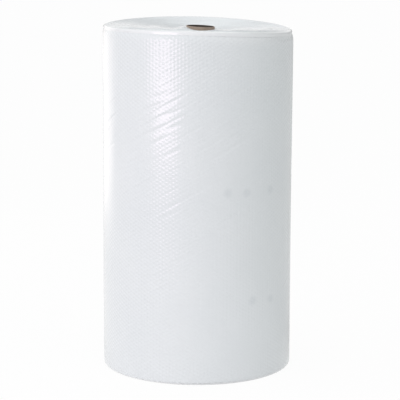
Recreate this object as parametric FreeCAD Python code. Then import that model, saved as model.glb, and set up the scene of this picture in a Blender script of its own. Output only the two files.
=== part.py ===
"""A large roll of air bubble film for packing, standing on its end.

Two pieces make it. The film is one long web, wound on itself and held by its own tension, so all
its turns are one solid. The core is a paper tube, and the film is wound straight on it.

Lengths are millimetres. The origin is on the core's axis at the floor, +Z runs up along the axis,
and the front of the roll faces -Y, with +X to its right.
"""

import FreeCAD, Part
import math
import os

from FreeCAD import Vector

# The roll as it is sold: the width of the web is the height of the roll
web_width = 1000.0
roll_diameter = 554.0

# The paper tube, for a three-inch spindle. The roll has sagged to one side of it
core_bore_diameter = 76.0
core_wall = 3.0
core_short_of_web = 3.0
core_off_centre = 9.0

# The last turns lie slack, each as thick as the film. The turns below them are pressed together,
# and their edges stand in bundles of several turns. The core cuts into the innermost bundle
slack_turns = 3
film_thickness = 4.0
bundles = 13
innermost_bundle_share = 0.6

# Where the web's free edge lies, at the back, as an angle from +X
tail_angle = 68.0

# The groove between two turned edges: how far in from the outer edge it lies and how deep it is,
# both as shares of the distance between the edges
groove_place = 0.7
groove_depth_share = 0.28

# How far the edge of the slack turns has slipped from the two ends, at the free edge of the web
top_slip = 19.0
foot_slip = 8.0

# The upper end is out of true. It sinks towards the core, leans to the right, stands higher at
# front and back than at the sides, and its bundles stand high and low in turn
dish_depth = 19.0
end_lean = 12.0
saddle_height = 4.5
bundle_wander = 1.5
bundles_per_wander = 4.7

# Points that the curve of a turned edge goes through in one turn
points_per_turn = 16

roll_radius = roll_diameter / 2
core_bore_radius = core_bore_diameter / 2
core_radius = core_bore_radius + core_wall
slack_start_radius = roll_radius - slack_turns * film_thickness
bundle_pitch = (slack_start_radius - core_radius) / (bundles - 1 + innermost_bundle_share)
whole_turns = slack_turns + bundles


def turn_radius(turns_in):
    """Radius of the spiral, so many turns in from the web's free edge."""
    if turns_in <= slack_turns:
        return roll_radius - turns_in * film_thickness
    if turns_in <= whole_turns:
        return slack_start_radius - (turns_in - slack_turns) * bundle_pitch
    # Past the last bundle the spiral only closes the body where the core goes
    return turn_radius(whole_turns) * 0.5 ** (turns_in - whole_turns)


def slack_share(turns_in):
    """How much of the slip an edge has: 1 at the free edge, 0 below the slack turns."""
    return max(1 - turns_in / slack_turns, 0) ** 2


def top_height(turns_in, angle, radius):
    """Height of a turned edge at the upper end."""
    share_out = radius / roll_radius
    dish = dish_depth * (1 - share_out)
    lean = end_lean / 2 * share_out * math.cos(angle)
    saddle = saddle_height * share_out**2 * math.cos(2 * angle)
    held = 1 - slack_share(turns_in)
    wander = bundle_wander * held * math.sin(2 * math.pi * turns_in / bundles_per_wander)
    return web_width - dish - lean - saddle + wander - top_slip * slack_share(turns_in)


def foot_height(turns_in, angle, radius):
    """Height of a turned edge at the lower end, which the roll's weight keeps level on the floor."""
    return foot_slip * slack_share(turns_in)


def groove_depth(turns_in):
    """Depth of a groove, which goes by the distance between the turned edges beside it."""
    outer_edge = turn_radius(turns_in - groove_place)
    inner_edge = turn_radius(turns_in - groove_place + 1)
    return groove_depth_share * (outer_edge - inner_edge)


def one_turn_line(first_turn, height, is_groove, inward):
    """One turn of a turned edge or of a groove, from first_turn turns in to one turn further out.

    inward is -1 or 1, the way along Z that leads into the roll."""
    points = []
    for step in range(points_per_turn + 1):
        turns_in = first_turn - step / points_per_turn
        angle = math.radians(tail_angle) + 2 * math.pi * step / points_per_turn
        radius = turn_radius(turns_in)
        sag = core_off_centre * (radius - core_radius) / (roll_radius - core_radius)
        level = height(turns_in, angle, radius)
        if is_groove:
            level += inward * groove_depth(turns_in)
        points.append(Vector(radius * math.cos(angle) - sag, radius * math.sin(angle), level))
    curve = Part.BSplineCurve()
    curve.interpolate(Points=points, Parameters=[float(step) for step in range(points_per_turn + 1)])
    return curve


def turned_end(height, inward):
    """All lines of one end, from the last turn to the first: edge, groove, edge, and so on."""
    lines = []
    for turn in range(1, whole_turns + 1):
        lines.append(one_turn_line(turn, height, False, inward))
        lines.append(one_turn_line(turn + groove_place, height, True, inward))
    lines.append(one_turn_line(whole_turns + 1, height, False, inward))
    return lines


def face_between(line, next_line):
    """The face that a straight edge sweeps as its two ends keep step along two lines."""
    surface = Part.BSplineSurface()
    surface.buildFromPolesMultsKnots(
        [line.getPoles(), next_line.getPoles()],
        [2, 2],
        line.getMultiplicities(),
        [0, 1],
        line.getKnots(),
        False,
        False,
        1,
        line.Degree,
    )
    return surface.toShape()


def step_face(upper_points, lower_points):
    """The flat step at an end of the web, as deep as one turn: edge, groove and edge."""
    corners = upper_points + lower_points[::-1]
    return Part.Face(Part.makePolygon(corners + corners[:1]))


def wound_body():
    """The closed body between the two turned ends, with a narrow well where the core goes."""
    top = turned_end(top_height, -1)
    foot = turned_end(foot_height, 1)
    faces = [face_between(line, inner) for lines in (top, foot) for line, inner in zip(lines, lines[1:])]
    faces.append(face_between(top[0], foot[0]))
    faces.append(face_between(top[-1], foot[-1]))
    faces.append(step_face([line.EndPoint for line in top[:3]], [line.EndPoint for line in foot[:3]]))
    faces.append(step_face([line.StartPoint for line in top[-3:]], [line.StartPoint for line in foot[-3:]]))
    shell = Part.makeShell(faces)
    shell.sewShape()
    body = Part.makeSolid(shell)
    if body.Volume < 0:
        body.reverse()
    return body


def wound_film():
    """Every turn of the film, with the hole that the core fills."""
    below_floor = web_width / 10
    hole = Part.makeCylinder(core_radius, web_width + 2 * below_floor, Vector(0, 0, -below_floor))
    return wound_body().cut(hole)


def core_tube():
    """The paper tube, cut square at both ends."""
    length = web_width - core_short_of_web
    outside = Part.makeCylinder(core_radius, length)
    bore = Part.makeCylinder(core_bore_radius, length)
    return outside.cut(bore)


def main():
    os.makedirs("parts", exist_ok=True)
    wound_film().exportStep("parts/wound_film.step")
    core_tube().exportStep("parts/core_tube.step")


main()
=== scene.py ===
"""Dresses a large roll of air bubble film, which stands on its end on a white floor.

The last turn of the film is a sheet of real bubbles, wound round the roll. Each end shows the cut
edges of about a hundred turns, one inside the other. The core is a tube of wound paperboard.
"""

import math

import bpy
import numpy as np
from bpy.props import FloatProperty, FloatVectorProperty, IntProperty, PointerProperty
from mathutils import Euler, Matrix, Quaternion, Vector


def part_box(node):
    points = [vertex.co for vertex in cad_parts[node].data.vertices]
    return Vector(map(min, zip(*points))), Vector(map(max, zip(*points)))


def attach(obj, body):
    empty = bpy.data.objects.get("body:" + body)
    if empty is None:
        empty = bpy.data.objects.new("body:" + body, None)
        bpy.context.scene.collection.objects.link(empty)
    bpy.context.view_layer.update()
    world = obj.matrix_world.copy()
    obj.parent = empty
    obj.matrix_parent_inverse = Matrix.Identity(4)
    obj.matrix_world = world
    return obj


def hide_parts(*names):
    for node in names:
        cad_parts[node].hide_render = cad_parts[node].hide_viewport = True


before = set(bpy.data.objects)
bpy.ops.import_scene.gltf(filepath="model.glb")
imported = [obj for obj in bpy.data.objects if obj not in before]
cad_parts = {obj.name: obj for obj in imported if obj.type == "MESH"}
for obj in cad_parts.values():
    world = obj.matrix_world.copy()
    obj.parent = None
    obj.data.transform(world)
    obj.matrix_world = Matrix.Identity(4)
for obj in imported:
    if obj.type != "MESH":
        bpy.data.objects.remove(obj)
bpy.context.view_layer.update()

bl_info = {
    "name": "Bubble film roll",
    "version": (1, 0, 0),
    "blender": (4, 5, 0),
    "location": "View3D > Sidebar > Film roll",
    "description": "Models and finishes an upright roll of air bubble film on a paper core",
    "category": "Object",
}

mm = 0.001
full_turn = 2 * math.pi

# The core as the frame has it. It is a little shorter than the web is wide
core_low, core_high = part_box("core_tube")
core_radius = core_high[0]
core_short_of_web = 3 * mm
web_width = core_high[2] + core_short_of_web

# The spiral that the solid was made from: slack turns outside, and bundles of turns below them
tail_angle = math.radians(68)
roll_radius = 277 * mm
slack_turns = 3
film_thickness = 4 * mm
bundles = 13
innermost_bundle_share = 0.6
groove_place = 0.7
core_off_centre = 9 * mm
slack_radius = roll_radius - slack_turns * film_thickness
bundle_pitch = (slack_radius - core_radius) / (bundles - 1 + innermost_bundle_share)

# The two ends of the solid: how far the slack turns slipped, and how the upper end is out of true
top_slip = 19 * mm
foot_slip = 8 * mm
dish_depth = 19 * mm
end_lean = 12 * mm
saddle_height = 4.5 * mm
bundle_wander = 1.5 * mm
bundles_per_wander = 4.7

# How far the last turn curls inwards at its two ends, and over what height
top_curl = 3.2 * mm
top_curl_height = 18 * mm
foot_curl = 1.2 * mm
foot_curl_height = 10 * mm

# Creases and ripples climb to the right at this angle
crease_slope = math.radians(28)


def length_setting(name, description, default):
    return FloatProperty(
        name=name, description=description, default=default, unit="LENGTH", precision=4
    )


def share_setting(name, description, default):
    return FloatProperty(
        name=name, description=description, default=default, subtype="FACTOR", min=0, max=1
    )


def angle_setting(name, description, degrees):
    return FloatProperty(
        name=name, description=description, default=math.radians(degrees), subtype="ANGLE"
    )


def colour_setting(name, description, default):
    return FloatVectorProperty(
        name=name, description=description, default=default, subtype="COLOR", size=3
    )


def number_setting(name, description, default):
    return FloatProperty(name=name, description=description, default=default)


class FilmSettings(bpy.types.PropertyGroup):
    bubble_spacing: length_setting("Bubble spacing", "Between two bubbles in a column", 11.5 * mm)
    bubble_width: length_setting("Bubble width", "Of a bubble where it meets the web", 10 * mm)
    bulge: length_setting("Bulge", "How far a bubble bulges out of the web's flat side", 0.5 * mm)
    turns: IntProperty(name="Turns", description="Of the film on the core", default=100, min=20)
    edge_groove: length_setting("Edge groove", "Depth of the groove between two edges", 0.8 * mm)
    colour: colour_setting("Colour", "Film in plain light", (0.765, 0.79, 0.805))
    shade: colour_setting("Shade", "Film where it is more tightly wound", (0.725, 0.755, 0.775))
    # Painted highlight on the slack turns' cut edges at the rim, and on a band at the upper right
    # of the last turn
    rim_highlight_colour: colour_setting("Rim colour", "Cut edges of the slack turns", (0.85, 0.86, 0.87))
    edge_shade: colour_setting("Edge shade", "Cut edges where they are pressed", (0.77, 0.8, 0.82))
    edge_colour: colour_setting("Edge colour", "Cut edges of the film", (0.81, 0.83, 0.85))
    smudge_colour: colour_setting("Smudge colour", "Scuffs on the last turn", (0.3, 0.36, 0.4))
    # Painted shadow round the tube, mixed with the tube's brown seen through the film
    tube_shadow_and_show_through: colour_setting("Core glow", "Film through which the tube shows", (0.38, 0.35, 0.34))
    roughness: share_setting("Roughness", "Of the film's surface", 0.16)
    coat: share_setting("Coat", "Clear gloss on top of the milky film", 0.7)


class CoreSettings(bpy.types.PropertyGroup):
    wall: length_setting("Wall", "Thickness of the paperboard", 3 * mm)
    edge_rounding: length_setting("Edge rounding", "Radius of the worn edges", 0.5 * mm)
    colour: colour_setting("Colour", "Paperboard", (0.385, 0.3, 0.245))
    dark_colour: colour_setting("Dark colour", "Seams and stains", (0.21, 0.16, 0.125))
    # Painted shade inside the tube: its inner wall is painted almost black
    inside_shade_colour: colour_setting("Inner colour", "Innermost ply, grey board", (0.075, 0.06, 0.052))
    lead: length_setting("Lead", "Height that a ply climbs in one turn", 150 * mm)
    cut_slant: angle_setting("Cut slant", "Of the upper end, down to the right", 2.5)


class StageSettings(bpy.types.PropertyGroup):
    floor_size: length_setting("Floor size", "Width of the floor", 60.0)
    camera_distance: length_setting("Camera distance", "From the core's axis", 5.224)
    camera_height: length_setting("Camera height", "Above the floor", 1.4177)
    camera_pitch: angle_setting("Camera pitch", "Below level", 10.12)
    camera_roll: angle_setting("Camera roll", "How far the camera's right side is lifted", 0.173)
    lens: number_setting("Lens", "Focal length in millimetres", 162.8)
    key_power: number_setting("Key power", "Of the soft box on the left, in watts", 7.5)
    rim_power: number_setting("Rim power", "Of the soft box behind the left side, in watts", 5.5)
    top_power: number_setting("Top power", "Of the soft box above, in watts", 13)
    sky: number_setting("Sky", "Strength of the light from all around", 0.742)


class Value:
    """A shader socket. Python's operators on it add Math nodes."""

    def __init__(self, shader, socket):
        self.shader = shader
        self.socket = socket

    def maths(self, operation, *values):
        return self.shader.add("ShaderNodeMath", {"operation": operation}, dict(enumerate(values)))

    def __add__(self, other):
        return self.maths("ADD", self, other)

    def __radd__(self, other):
        return self.maths("ADD", other, self)

    def __sub__(self, other):
        return self.maths("SUBTRACT", self, other)

    def __rsub__(self, other):
        return self.maths("SUBTRACT", other, self)

    def __mul__(self, other):
        return self.maths("MULTIPLY", self, other)

    def __rmul__(self, other):
        return self.maths("MULTIPLY", other, self)

    def __truediv__(self, other):
        return self.maths("DIVIDE", self, other)

    def __rtruediv__(self, other):
        return self.maths("DIVIDE", other, self)

    def __pow__(self, other):
        return self.maths("POWER", self, other)


class Shader:
    """The nodes of a new material or world, and the ways to add them."""

    def __init__(self, owner, place="Object"):
        owner.use_nodes = True
        self.owner = owner
        self.tree = owner.node_tree
        self.tree.nodes.clear()
        self.place = self.add("ShaderNodeTexCoord", output=place)

    def add(self, kind, settings=None, inputs=None, output=0):
        """A node of that kind: its settings come first, then the values or links of its sockets."""
        node = self.tree.nodes.new(kind)
        for name, value in (settings or {}).items():
            setattr(node, name, value)
        for name, value in (inputs or {}).items():
            if isinstance(value, Value):
                self.tree.links.new(value.socket, node.inputs[name])
            else:
                node.inputs[name].default_value = value
        return Value(self, node.outputs[output]) if node.outputs else None

    def noise(self, scale, detail):
        """Soft random spots, so many to the metre."""
        inputs = {"Vector": self.place, "Scale": scale, "Detail": detail}
        return self.add("ShaderNodeTexNoise", {}, inputs, "Fac")

    def step(self, value, low, high):
        """0 below low, 1 above high, smooth between."""
        inputs = {0: value, 1: low, 2: high, 3: 0.0, 4: 1.0}
        return self.add("ShaderNodeMapRange", {"interpolation_type": "SMOOTHSTEP"}, inputs)

    def mix(self, share, colour, other):
        """colour where share is 0, other where it is 1."""
        inputs = {0: share, 6: opaque(colour), 7: opaque(other)}
        return self.add("ShaderNodeMix", {"data_type": "RGBA"}, inputs, 2)

    def parts(self, vector):
        """The three numbers of a vector."""
        first = self.add("ShaderNodeSeparateXYZ", {}, {0: vector})
        outputs = first.socket.node.outputs
        return first, Value(self, outputs[1]), Value(self, outputs[2])

    def spot(self, centre, size):
        """1 near a place on the roll, and 0 beyond that size."""
        inputs = {0: self.place, 1: centre}
        away = self.add("ShaderNodeVectorMath", {"operation": "DISTANCE"}, inputs, "Value")
        return 1 - self.step(away, size / 4, size)

    def either(self, one, other):
        """The greater of two masks."""
        return one.maths("MAXIMUM", one, other)

    def finish(self, inputs):
        """Joins the main shader to the output and gives the material back."""
        body = self.add("ShaderNodeBsdfPrincipled", {}, inputs)
        self.add("ShaderNodeOutputMaterial", {}, {"Surface": body})
        return self.owner


def opaque(colour):
    """A colour with its alpha, or a socket as it is."""
    return colour if isinstance(colour, Value) else (*colour, 1.0)


def deselect_all():
    bpy.ops.object.select_all(action="DESELECT")


def only(obj):
    """Makes an object the only one that operators act on."""
    deselect_all()
    obj.select_set(True)
    bpy.context.view_layer.objects.active = obj
    return obj


def apply_modifier(obj, kind, **settings):
    """Adds a modifier with those settings and applies it."""
    only(obj)
    modifier = obj.modifiers.new(kind.title(), kind)
    for name, value in settings.items():
        setattr(modifier, name, value)
    bpy.ops.object.modifier_apply(modifier=modifier.name)


def repeat(obj, count, offset, merge=0.2 * mm):
    """Repeats a mesh in even steps and joins each copy to the next."""
    apply_modifier(
        obj,
        "ARRAY",
        count=count,
        use_relative_offset=False,
        use_constant_offset=True,
        constant_offset_displace=offset,
        use_merge_vertices=True,
        merge_threshold=merge,
    )


def corners(obj):
    """A mesh's vertices as an array."""
    flat = np.empty(len(obj.data.vertices) * 3, dtype=np.float32)
    obj.data.vertices.foreach_get("co", flat)
    return flat.reshape(-1, 3).astype(np.float64)


def move_corners(obj, places):
    """Gives a mesh's vertices new places."""
    obj.data.vertices.foreach_set("co", places.astype(np.float32).ravel())
    obj.data.update()


def smooth(obj, angle):
    """Shades a mesh smooth, apart from edges sharper than that many degrees."""
    only(obj)
    bpy.ops.object.shade_smooth_by_angle(angle=math.radians(angle))


def flip_faces(obj):
    """Turns every face of a mesh to its other side."""
    only(obj)
    bpy.ops.object.mode_set(mode="EDIT")
    bpy.ops.mesh.select_all(action="SELECT")
    bpy.ops.mesh.flip_normals()
    bpy.ops.object.mode_set(mode="OBJECT")


def finish_piece(obj, name, material, slot, *nodes):
    """Names a finished piece and joins it to the frame."""
    obj.name = name
    obj.data.name = name
    obj.data.materials.clear()
    obj.data.materials.append(material)
    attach(obj, "root")
    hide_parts(*nodes)


def bell(value, middle, width, power=2):
    """1 at the middle, and near 0 further off than the width."""
    return np.exp(-(((value - middle) / width) ** power))


def wave(value, length, start=0.0):
    """A sine wave of that length."""
    return np.sin(full_turn * value / length + start)


def rise(value, middle, width):
    """0 well below the middle, 1 well above it, smooth between."""
    return 1 / (1 + np.exp((middle - value) / width))


def turned_from(angle, middle):
    """An angle counted from the middle, between half a turn back and half a turn on."""
    return (angle - middle + math.pi) % full_turn - math.pi


def cad_turns(radius):
    """How many of the solid's turns in from the free edge a radius lies."""
    slack = np.minimum((roll_radius - radius) / film_thickness, slack_turns)
    return slack + np.maximum(slack_radius - radius, 0) / bundle_pitch


def slack_share(radius):
    """How much of the slip an edge has: 1 at the free edge, 0 below the slack turns."""
    return np.maximum(1 - cad_turns(radius) / slack_turns, 0) ** 2


def top_height(radius, angle):
    """Height of the edges at the upper end: sunk at the core, leaning, and slipped at the rim."""
    share = radius / roll_radius
    slack = slack_share(radius)
    dish = dish_depth * (1 - share)
    lean = end_lean / 2 * share * np.cos(angle)
    saddle = saddle_height * share**2 * np.cos(2 * angle)
    wander = bundle_wander * (1 - slack) * wave(cad_turns(radius), bundles_per_wander)
    return web_width - dish - lean - saddle + wander - top_slip * slack


def raised_top_height(radius, angle):
    """The upper end, where the innermost turns have climbed up the core at its left and right."""
    on_both_sides = 5.8 * mm
    more_on_left = 3.3 * mm
    reach = 30 * mm
    climb = (on_both_sides - more_on_left * np.cos(angle)) * np.cos(angle) ** 2
    return top_height(radius, angle) + climb * bell(radius, core_radius, reach)


def foot_height(radius, angle):
    """Height of the edges at the lower end, which only the slack turns have left."""
    return foot_slip * slack_share(radius)


def bundle_groove(radius, angle):
    """Depth of the grooves between bundles of turns, each nearest to the bundle inside it."""
    depth_share = 0.11
    phase = (cad_turns(radius) + (angle - tail_angle) / full_turn) % 1
    fall = np.minimum(phase / groove_place, (1 - phase) / (1 - groove_place))
    pitch = np.where(radius > slack_radius, film_thickness, bundle_pitch)
    return depth_share * pitch * fall**1.5


def spiral_path(pitch, turns):
    """A curve from the free edge of the web inwards, clockwise, closing by pitch in each turn."""
    points_per_turn = 128
    data = bpy.data.curves.new("winding_path", "CURVE")
    data.dimensions = "2D"
    spline = data.splines.new("POLY")
    count = int(turns * points_per_turn)
    spline.points.add(count)
    for index, point in enumerate(spline.points):
        turn = index / points_per_turn
        radius = roll_radius - pitch * turn
        angle = tail_angle - full_turn * turn
        point.co = (radius * math.cos(angle), radius * math.sin(angle), 0, 1)
    curve = bpy.data.objects.new("winding_path", data)
    bpy.context.collection.objects.link(curve)
    return curve


def wind(obj, path):
    """Winds a flat piece, laid along X from the free edge, on the spiral path."""
    apply_modifier(obj, "CURVE", object=path, deform_axis="POS_X")


def remove(obj):
    only(obj)
    bpy.ops.object.delete()


def sag(places, radius):
    """Lets the turns hang to one side of the core, more so further out."""
    share = (radius - core_radius) / (roll_radius - core_radius)
    places[:, 0] -= core_off_centre * np.maximum(share, 0)


# Faint scuffs on the last turn, where its front was touched: places in metres
smudges = (
    (0.131, -0.237, 0.548),
    (0.077, -0.261, 0.551),
    (0.199, -0.180, 0.549),
    (0.149, -0.225, 0.236),
    (0.202, -0.177, 0.231),
)

# Long creases of the last turn: degrees from the front, then height, length and depth in mm
front_creases = (
    (-24, 760, 150, 1.3),
    (-20, 738, 120, 1.2),
    (-30, 716, 130, 1.1),
    (-17, 800, 110, 1.0),
    (18, 672, 150, 1.2),
    (19, 478, 80, 1.1),
    (-62, 745, 90, 1.0),
    (-64, 664, 50, 0.9),
    (26, 838, 90, 0.9),
    (20, 384, 70, 0.9),
    (8, 690, 100, 0.8),
    (38, 610, 120, 0.8),
    (-38, 560, 110, 0.8),
    (2, 560, 90, 0.7),
    (-27, 790, 80, 1.2),
    (-15, 776, 70, 1.0),
    (-33, 752, 70, 1.0),
    (-12, 742, 60, 0.9),
    (-22, 826, 70, 0.9),
    (-26, 690, 90, 0.9),
    (-14, 668, 70, 0.8),
    (-4, 722, 80, 0.8),
    (12, 746, 80, 0.6),
    (24, 716, 90, 0.6),
    (30, 780, 80, 0.6),
    (-68, 706, 60, 0.7),
)


def crease_list():
    """The front's creases, and shorter ones spread over the whole turn."""
    creases = list(front_creases)
    random = np.random.default_rng(5)
    for index in range(70):
        height = random.uniform(260, 880)
        front_angle = random.uniform(0, 360)
        length = random.uniform(40, 110)
        depth = random.uniform(0.3, 0.8)
        creases.append((front_angle, height, length, depth))
    return creases


def creased(angle, height):
    """How far the creases draw the film inwards. Each is a furrow with a low bank above it."""
    half_width = 4.5 * mm
    depth_share = 0.56
    length_share = 0.42
    bank_share = 0.45
    bank_place = 1.9
    inward = np.zeros_like(angle)
    for front_angle, crease_height, length, depth in crease_list():
        along = turned_from(angle, math.radians(front_angle - 90)) * roll_radius
        across = (height - crease_height * mm - math.tan(crease_slope) * along) / half_width
        ends = bell(along, 0, length_share * length * mm, 4)
        profile = bell(across, 0, 1) - bank_share * bell(across, bank_place, 1)
        inward += depth_share * depth * mm * ends * profile
    return inward


def rippled(angle, height):
    """Fine slanting ripples, in patches, which the web got when it was wound under tension. They
    lie in the upper half, and most are to the left of the front."""
    depth = 0.16 * mm
    wavelength = 19 * mm
    strongest_at = math.radians(-111.6)
    spread = 0.55
    round_front = ((angle - tail_angle) % full_turn - math.pi) * roll_radius
    along = round_front * math.cos(crease_slope) + height * math.sin(crease_slope)
    across = height * math.cos(crease_slope) - round_front * math.sin(crease_slope)
    bend = 2.6 * wave(along, 190 * mm) + 1.6 * wave(across, 97 * mm)
    patch = 0.5 + 0.5 * wave(round_front, 310 * mm, 0.8) * wave(height, 430 * mm, 2.0)
    patch *= bell(height, 720 * mm, 220 * mm, 4)
    patch *= 0.28 + 0.82 * bell(turned_from(angle, strongest_at), 0, spread, 4)
    return depth * patch * wave(across, wavelength, bend)


def bubble_strength(along, height):
    """How far bubbles stand out, as a share of the bulge. They are flatter at mid height and low on
    the right, where the film is pulled tight, and fuller near the upper end and low on the left."""
    upper = rise(height, 850 * mm, 50 * mm)
    middle = bell(height, 680 * mm, 160 * mm)
    lower = 1 - rise(height, 420 * mm, 50 * mm)
    left = np.tanh((along - 720 * mm) / (120 * mm))
    patches = wave(along, 370 * mm, 1.0) * wave(height, 290 * mm, 0.5)
    by_height = 0.94 + 0.6 * upper - 0.4 * middle
    return by_height * (1 + 0.12 * patches) * (1 + 0.35 * left * lower)


def bubble_cell(settings):
    """One bubble in its six-sided share of the web, in the XZ plane, with the bubble towards +Y."""
    flat = (math.pi / 2, math.pi / 6, 0)
    cell_radius = settings.bubble_spacing / math.sqrt(3)
    foot_radius = settings.bubble_width / 2
    shoulder_height = 0.78 * settings.bulge
    # The outline of the cell, the outline of the bubble's foot, and the bubble itself
    deselect_all()
    bpy.ops.mesh.primitive_circle_add(vertices=6, radius=cell_radius, rotation=flat)
    cell = bpy.context.object
    bpy.ops.mesh.primitive_circle_add(vertices=8, radius=foot_radius, rotation=flat)
    rim = bpy.context.object
    bpy.ops.mesh.primitive_circle_add(
        vertices=8, radius=foot_radius, fill_type="NGON", rotation=flat
    )
    bubble = only(bpy.context.object)
    bpy.ops.object.transform_apply()
    if bubble.data.polygons[0].normal.y < 0:
        flip_faces(bubble)
    bpy.ops.object.mode_set(mode="EDIT")
    bpy.ops.mesh.select_all(action="SELECT")
    bpy.ops.mesh.inset(thickness=0.42 * foot_radius, depth=shoulder_height)
    bpy.ops.mesh.poke(offset=settings.bulge - shoulder_height)
    bpy.ops.object.mode_set(mode="OBJECT")
    # The flat web between the two outlines, then all of it as one mesh
    only(cell)
    rim.select_set(True)
    bpy.ops.object.join()
    bpy.ops.object.transform_apply()
    bpy.ops.object.mode_set(mode="EDIT")
    bpy.ops.mesh.select_all(action="SELECT")
    bpy.ops.mesh.bridge_edge_loops()
    bpy.ops.object.mode_set(mode="OBJECT")
    bubble.select_set(True)
    bpy.ops.object.join()
    bpy.ops.object.mode_set(mode="EDIT")
    bpy.ops.mesh.select_all(action="SELECT")
    bpy.ops.mesh.remove_doubles(threshold=0.1 * mm)
    bpy.ops.mesh.normals_make_consistent(inside=False)
    bpy.ops.object.mode_set(mode="OBJECT")
    cell = bpy.context.object
    top = max(cell.data.polygons, key=lambda face: face.center.y)
    if top.normal.y < 0:
        flip_faces(cell)
    return cell


def cut_web(obj, place, normal):
    """Cuts a flat web straight across and keeps what lies behind the cut."""
    only(obj)
    bpy.ops.object.mode_set(mode="EDIT")
    bpy.ops.mesh.select_all(action="SELECT")
    bpy.ops.mesh.bisect(plane_co=place, plane_no=normal, clear_outer=True)
    bpy.ops.object.mode_set(mode="OBJECT")


def lay_skin(obj):
    """Gives a wound stretch of web its height, its creases and its place round the core."""
    places = corners(obj)
    radius = np.hypot(places[:, 0], places[:, 1])
    angle = np.arctan2(places[:, 1], places[:, 0])
    outline = radius_at_angle(angle, radius)
    share = places[:, 2] / web_width
    top = top_height(outline, angle)
    foot = foot_height(outline, angle)
    height = foot + share * (top - foot)
    out_of_round = 0.6 * mm * np.sin(3 * angle + 5 * height)
    inward = creased(angle, height) + rippled(angle, height) + out_of_round
    inward += curled(top - height, top_curl, top_curl_height)
    inward += curled(height - foot, foot_curl, foot_curl_height)
    radius = radius - inward + tail_lift(angle, height, outline)
    places[:, 0] = radius * np.cos(angle)
    places[:, 1] = radius * np.sin(angle)
    places[:, 2] = height
    sag(places, outline)
    move_corners(obj, places)


def curled(from_end, curl, reach):
    """How far the last turn curls inwards, so far from its end."""
    return curl * np.clip(1 - from_end / reach, 0, 1) ** 2


def radius_at_angle(angle, radius):
    """The solid's outer radius under each point of the last turn. Just past the free edge, the end
    of the stretch lies under its beginning."""
    turned = (tail_angle - angle) / full_turn % 1
    under = (turned < 0.1) & (radius < roll_radius - film_thickness)
    return roll_radius - film_thickness * np.where(under, turned + 1, turned)


def tail_lift(angle, height, outline):
    """How far the free edge of the web stands off the turn below."""
    highest = 2.2 * mm
    reach = 18 * mm
    far_off = 1
    back = (tail_angle - angle) % full_turn * roll_radius
    back = np.where(outline > roll_radius - film_thickness, back, far_off)
    uneven = 0.5 + 0.5 * np.sin(14 * height + 1.0) * np.sin(5 * height)
    return highest * uneven * np.exp(-back / reach)


def make_skin(settings, material):
    """The last turn: a web of bubbles in four stretches, wound from its free edge."""
    spacing = settings.bubble_spacing
    column = spacing * math.sqrt(3) / 2
    rows = math.ceil(web_width / spacing) + 1
    stretches = 4
    turn_length = full_turn * (roll_radius - settings.bulge - film_thickness / 2)
    pairs = math.ceil((turn_length / (2 * column) + 2) / stretches)
    strip = bubble_cell(settings)
    repeat(strip, 2, (column, 0, spacing / 2))
    repeat(strip, rows, (0, 0, spacing))
    cut_web(strip, (0, 0, 0), (0, 0, -1))
    cut_web(strip, (0, 0, web_width), (0, 0, 1))
    repeat(strip, pairs, (2 * column, 0, 0))
    path = spiral_path(film_thickness, 1.2)
    for index in range(stretches):
        piece = only(strip) if index == stretches - 1 else copy_of(strip)
        places = corners(piece)
        places[:, 0] += index * pairs * 2 * column
        places[:, 1] *= bubble_strength(places[:, 0], places[:, 2])
        places[:, 1] -= settings.bulge
        move_corners(piece, places)
        if index == 0:
            cut_web(piece, (0, 0, 0), (-1, 0, 0))
            close_free_edge(piece)
        wind(piece, path)
        lay_skin(piece)
        smooth(piece, 60)
        finish_piece(piece, f"film_last_turn_{index + 1}", material, "film", "wound_film")
    remove(path)


def copy_of(obj):
    """A copy of an object with its own mesh."""
    copied = obj.copy()
    copied.data = obj.data.copy()
    bpy.context.collection.objects.link(copied)
    return only(copied)


def close_free_edge(piece):
    """Turns the free edge of the web down on the turn below it."""
    only(piece)
    for edge in piece.data.edges:
        ends = [piece.data.vertices[index].co.x for index in edge.vertices]
        edge.select = max(ends) < 0.05 * mm
    bpy.ops.object.mode_set(mode="EDIT")
    bpy.ops.mesh.select_mode(type="EDGE")
    down = {"value": (0.2 * mm, -film_thickness, 0)}
    bpy.ops.mesh.extrude_edges_move(TRANSFORM_OT_translate=down)
    bpy.ops.mesh.select_mode(type="VERT")
    bpy.ops.object.mode_set(mode="OBJECT")


def edge_cell(settings, pitch):
    """A short length of one turn's cut edges, seen from above: a straight film, then a waved one.

    Its five rows are the straight film, a groove, the waved film, a groove and the next turn."""
    columns = 2
    rows = 4
    deselect_all()
    bpy.ops.mesh.primitive_grid_add(x_subdivisions=columns, y_subdivisions=rows, size=1)
    cell = only(bpy.context.object)
    places = corners(cell)
    row = np.round((0.5 - places[:, 1]) * rows).astype(int)
    column = np.round((places[:, 0] + 0.5) * columns).astype(int)
    share_across = np.array((0.0, 0.28, 0.62, 0.86, 1.0))
    share_deep = np.array((0.0, 1.0, 0.15, 1.0, 0.0))
    waved = np.where(row == 2, np.where(column == 1, 0.2, -0.12), 0.0)
    places[:, 0] = column / columns * settings.bubble_spacing
    places[:, 1] = -(share_across[row] - waved) * pitch
    places[:, 2] = -share_deep[row] * settings.edge_groove
    move_corners(cell, places)
    return cell


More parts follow.
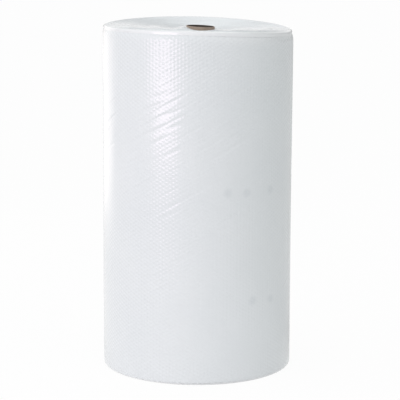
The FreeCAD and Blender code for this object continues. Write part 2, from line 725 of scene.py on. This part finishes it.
def make_end(settings, material, name, height, inward):
    """The cut edges of every turn at one end. inward is -1 or 1, the way into the roll along Z."""
    slack_groove_share = 0.8
    last_turn_groove = 0.3 * mm
    bubble_push = 0.7 * mm
    unevenness = 0.35 * mm
    pitch = (roll_radius - core_radius) / settings.turns
    length = math.pi * (roll_radius**2 - core_radius**2) / pitch
    spacing = settings.bubble_spacing
    strip = edge_cell(settings, pitch)
    repeat(strip, int(length / spacing), (spacing, 0, 0), merge=0.05 * mm)
    bubbles = np.cos(full_turn * corners(strip)[:, 0] / spacing)
    path = spiral_path(pitch, settings.turns + 0.3)
    wind(strip, path)
    remove(path)
    # The strip is wound evenly. The slack turns now take their full thickness from the others
    places = corners(strip)
    even_radius = np.hypot(places[:, 0], places[:, 1])
    angle = np.arctan2(places[:, 1], places[:, 0])
    turn = (roll_radius - even_radius) / pitch
    slack = np.clip(turn, 0, slack_turns)
    pressed = (slack_radius - core_radius) / (settings.turns - slack_turns)
    radius = roll_radius - slack * film_thickness - (turn - slack) * pressed
    # The last turn is flat between its edges, so that it meets the skin, and curls in with it
    in_last_turn = turn < 0.999
    groove = -places[:, 2] * np.where(turn < slack_turns, slack_groove_share, 1.0)
    groove = np.where(in_last_turn, last_turn_groove, groove)
    places[:, 2] = height(radius, angle) + inward * (groove + bundle_groove(radius, angle))
    outline = roll_radius - film_thickness * ((tail_angle - angle) / full_turn % 1)
    near_skin = np.clip(1 - (outline - radius) / film_thickness, 0, 1)
    curl = top_curl if inward < 0 else foot_curl
    radius -= curl * np.where(in_last_turn, near_skin, 0)
    # The bubbles push the slack turns in and out
    radius += bubble_push * bubbles * np.where(in_last_turn, 0, slack_share(radius) ** 0.5)
    places[:, 0] = radius * np.cos(angle)
    places[:, 1] = radius * np.sin(angle)
    if inward < 0:
        quick = np.sin(full_turn * turn * 0.37 + 2 * np.sin(angle))
        slow = np.sin(full_turn * turn * 0.11)
        places[:, 2] += unevenness * quick * slow
    sag(places, radius)
    move_corners(strip, places)
    if inward > 0:
        flip_faces(strip)
    smooth(strip, 180)
    finish_piece(strip, name, material, "film", "wound_film")


def make_core(settings, material):
    """The paperboard tube, with worn edges."""
    height = core_high[2] - core_low[2]
    deselect_all()
    bpy.ops.mesh.primitive_cylinder_add(
        vertices=96,
        radius=core_radius,
        depth=height,
        end_fill_type="NOTHING",
        location=(0, 0, core_low[2] + height / 2),
    )
    tube = only(bpy.context.object)
    bpy.ops.object.transform_apply()
    cut_web(tube, (-core_radius, 0, core_high[2]), (math.tan(settings.cut_slant), 0, 1))
    apply_modifier(tube, "SOLIDIFY", thickness=settings.wall, offset=-1.0, use_even_offset=True)
    apply_modifier(tube, "BEVEL", width=settings.edge_rounding, segments=3, limit_method="ANGLE")
    smooth(tube, 40)
    finish_piece(tube, "core_paperboard", material, "core", "core_tube")


def film_shader(settings, name, colour, shade, rim_share):
    """Milky film with a clear gloss, scuffed in places. Near the tube it is painted darker: painted
    shadow, mixed with the tube's brown seen through the film.

    rim_share is how far the slack turns take the painted rim highlight. Where it is low, a band at
    the upper right of the last turn takes that painted highlight instead."""
    smudge_size = 19 * mm
    shadow_reach = 9 * mm
    shader = Shader(bpy.data.materials.new(name))
    cloud = shader.step(shader.noise(4.0, 3.0), 0.35, 0.7)
    fine = shader.noise(160.0, 2.0)
    base = shader.mix(cloud * 0.5 + fine * 0.2, colour, shade)
    smudge = sum((shader.spot(place, smudge_size) for place in smudges), 0.0)
    base = shader.mix(smudge * 0.12, base, settings.smudge_colour)
    x, y, z = shader.parts(shader.place)
    from_core = (x * x + y * y) ** 0.5
    # Painted shadow near the tube, mixed with the tube's brown seen through the film
    near_core = 1 - shader.step(from_core, core_radius, core_radius + shadow_reach)
    base = shader.mix(near_core * 0.6, base, settings.tube_shadow_and_show_through)
    off = x + core_off_centre
    from_middle = (off * off + y * y) ** 0.5
    # Painted highlight: the cut edges of the slack turns are lighter at the rim
    near_rim = shader.step(from_middle, slack_radius - 8 * mm, slack_radius + 6 * mm)
    base = shader.mix(near_rim * rim_share, base, settings.rim_highlight_colour)
    # Painted highlight: a band near the top of the last turn, on its right, is lightened
    upper_right_highlight = shader.step(z, web_width - 55 * mm, web_width - 10 * mm)
    upper_right_highlight = upper_right_highlight * shader.step(x, -50 * mm, 200 * mm)
    base = shader.mix(upper_right_highlight * 0.7 * (1 - rim_share), base, settings.rim_highlight_colour)
    inputs = {
        "Base Color": base,
        "Roughness": settings.roughness + 0.12 * fine,
        "Specular IOR Level": 0.9,
        "Coat Weight": settings.coat,
        "Coat Roughness": 0.06,
    }
    return shader.finish(inputs)


def core_shader(settings):
    """Brown paperboard, wound in a spiral, with the seam of its outer ply. Inside the tube it is
    painted almost black, as painted shade.
    """
    shader = Shader(bpy.data.materials.new("core_paperboard"))
    x, y, z = shader.parts(shader.place)
    climbed = z / settings.lead - x.maths("ARCTAN2", y, x) / full_turn
    ply = climbed.maths("FRACT", climbed)
    seam = 1 - shader.step(ply.maths("ABSOLUTE", ply - 0.5), 0.0, 0.012)
    fibre = shader.noise(900.0, 3.0)
    stain = shader.step(shader.noise(25.0, 3.0), 0.4, 0.75)
    dark = seam * 0.6 + stain * 0.35 + fibre * 0.25
    base = shader.mix(dark, settings.colour, settings.dark_colour)
    from_axis = (x * x + y * y) ** 0.5
    # Painted shade: the inner wall of the tube is painted almost black
    inside = 1 - shader.step(from_axis, core_radius - 2.9 * mm, core_radius - 2.3 * mm)
    base = shader.mix(inside, base, settings.inside_shade_colour)
    relief = {"Strength": 0.4, "Distance": 0.2 * mm, "Height": fibre - seam}
    bump = shader.add("ShaderNodeBump", {}, relief)
    return shader.finish({"Base Color": base, "Roughness": 0.85 - 0.1 * fibre, "Normal": bump})


class ROLL_OT_last_turn(bpy.types.Operator):
    """Model the last turn of the film, with its bubbles and its free edge"""

    bl_idname = "roll.last_turn"
    bl_label = "Last turn"

    def execute(self, context):
        settings = context.scene.roll_film
        material = film_shader(settings, "film", settings.colour, settings.shade, 0.0)
        make_skin(settings, material)
        return {"FINISHED"}


class ROLL_OT_ends(bpy.types.Operator):
    """Model the cut edges of the turns at both ends"""

    bl_idname = "roll.ends"
    bl_label = "Ends"

    def execute(self, context):
        settings = context.scene.roll_film
        colours = settings.edge_colour, settings.edge_shade
        material = film_shader(settings, "film_edges", *colours, 0.8)
        make_end(settings, material, "film_edges_top", raised_top_height, -1)
        make_end(settings, material, "film_edges_foot", foot_height, 1)
        return {"FINISHED"}


class ROLL_OT_core(bpy.types.Operator):
    """Model the paperboard core"""

    bl_idname = "roll.core"
    bl_label = "Core"

    def execute(self, context):
        settings = context.scene.roll_core
        make_core(settings, core_shader(settings))
        return {"FINISHED"}


def soft_box(name, power, place, target, width, height, colour):
    """A lamp with a flat face of that size, turned towards the target."""
    data = bpy.data.lights.new(name, "AREA")
    data.shape = "RECTANGLE"
    data.energy = power
    data.size = width
    data.size_y = height
    data.color = colour
    lamp = bpy.data.objects.new(name, data)
    lamp.location = place
    lamp.rotation_euler = (Vector(target) - Vector(place)).to_track_quat("-Z", "Y").to_euler()
    bpy.context.collection.objects.link(lamp)


def floor_shader():
    """A white floor that keeps the roll's shadow. The film's gloss shows its left and front."""
    shader = Shader(bpy.data.materials.new("stage_floor"))
    eye = shader.add("ShaderNodeLightPath", output="Is Camera Ray")
    glossy = shader.add("ShaderNodeLightPath", output="Is Glossy Ray")
    x, y, z = shader.parts(shader.place)
    left = 1 - shader.step(x, -0.6, 0.3)
    front = shader.step(y, -3.3, -1.7) * (1 - shader.step(y, -0.2, 0.4))
    front = front * (1 - shader.step(x, 0.9, 1.4))
    seen = shader.either(eye, glossy * shader.either(left, front))
    matt = shader.add("ShaderNodeBsdfDiffuse", {}, {"Color": (0.9, 0.9, 0.9, 1.0)})
    glow = shader.add("ShaderNodeEmission", {}, {"Color": (1.0, 1.0, 1.0, 1.0), "Strength": 1.0})
    both = shader.add("ShaderNodeMixShader", {}, {0: seen * 0.95, 1: matt, 2: glow})
    shader.add("ShaderNodeOutputMaterial", {}, {"Surface": both})
    return shader.owner


def set_world(strength):
    """Soft light from all around, stronger from the front and the left. It is white to the camera.
    What lies behind the roll is white in its gloss too."""
    shader = Shader(bpy.data.worlds.new("stage_world"), "Generated")
    x, y, z = shader.parts(shader.place)
    level = strength * (1 - 0.37 * x - 0.46 * y)
    eye = shader.add("ShaderNodeLightPath", output="Is Camera Ray")
    glossy = shader.add("ShaderNodeLightPath", output="Is Glossy Ray")
    behind = shader.step(y, 0.5, 0.9) * shader.step(z, 0.02, 0.08)
    seen = shader.either(eye, glossy * behind)
    soft = {"Color": (0.98, 1.0, 1.0, 1.0), "Strength": level}
    light = shader.add("ShaderNodeBackground", {}, soft)
    plain = {"Color": (1.0, 1.0, 1.0, 1.0), "Strength": 1.0}
    white = shader.add("ShaderNodeBackground", {}, plain)
    both = shader.add("ShaderNodeMixShader", {}, {0: seen, 1: light, 2: white})
    shader.add("ShaderNodeOutputWorld", {}, {"Surface": both})
    bpy.context.scene.world = shader.owner


class ROLL_OT_stage(bpy.types.Operator):
    """Set up the floor, the lamps and the camera"""

    bl_idname = "roll.stage"
    bl_label = "Stage"

    def execute(self, context):
        settings = context.scene.roll_stage
        deselect_all()
        bpy.ops.mesh.primitive_plane_add(size=settings.floor_size, location=(0, 0, 0))
        floor = bpy.context.object
        floor.name = "stage_floor"
        floor.data.materials.append(floor_shader())
        set_world(settings.sky)
        pink = (1, 0.78, 0.93)
        warm = (1, 0.9, 0.85)
        white = (1, 1, 1)
        key, rim, top = settings.key_power, settings.rim_power, settings.top_power
        soft_box("key_lamp", key, (-1.6, -2.05, 0.8), (0, 0, 0.8), 1.35, 0.9, pink)
        soft_box("rim_lamp", rim, (-1.84, 1.84, 1.01), (0, 0, 1.01), 1.5, 1.98, warm)
        soft_box("top_lamp", top, (0, 0, 3.2), (0, 0, 0.5), 2.4, 2.4, white)
        data = bpy.data.cameras.new("photo_camera")
        data.lens = settings.lens
        data.sensor_width = 36.0
        camera = bpy.data.objects.new("photo_camera", data)
        camera.location = (0, -settings.camera_distance, settings.camera_height)
        level = Euler((math.pi / 2 - settings.camera_pitch, 0, 0)).to_quaternion()
        turn = level @ Quaternion((0, 0, 1), settings.camera_roll)
        camera.rotation_euler = turn.to_euler()
        bpy.context.collection.objects.link(camera)
        context.scene.camera = camera
        context.scene.view_settings.view_transform = "Standard"
        return {"FINISHED"}


class ROLL_PT_panel(bpy.types.Panel):
    """Lists the pieces of the roll"""

    bl_label = "Film roll"
    bl_idname = "ROLL_PT_panel"
    bl_space_type = "VIEW_3D"
    bl_region_type = "UI"
    bl_category = "Film roll"

    def draw(self, context):
        groups = (
            (context.scene.roll_film, ("roll.last_turn", "roll.ends")),
            (context.scene.roll_core, ("roll.core",)),
            (context.scene.roll_stage, ("roll.stage",)),
        )
        for group, names in groups:
            box = self.layout.box()
            for key in group.__annotations__:
                box.prop(group, key)
            for name in names:
                box.operator(name)


classes = (
    FilmSettings,
    CoreSettings,
    StageSettings,
    ROLL_OT_last_turn,
    ROLL_OT_ends,
    ROLL_OT_core,
    ROLL_OT_stage,
    ROLL_PT_panel,
)


def register():
    for item in classes:
        bpy.utils.register_class(item)
    bpy.types.Scene.roll_film = PointerProperty(type=FilmSettings)
    bpy.types.Scene.roll_core = PointerProperty(type=CoreSettings)
    bpy.types.Scene.roll_stage = PointerProperty(type=StageSettings)


def unregister():
    del bpy.types.Scene.roll_stage
    del bpy.types.Scene.roll_core
    del bpy.types.Scene.roll_film
    for item in reversed(classes):
        bpy.utils.unregister_class(item)


def main():
    register()
    bpy.ops.roll.stage()
    bpy.ops.roll.core()
    bpy.ops.roll.ends()
    bpy.ops.roll.last_turn()


if __name__ == "__main__":
    main()
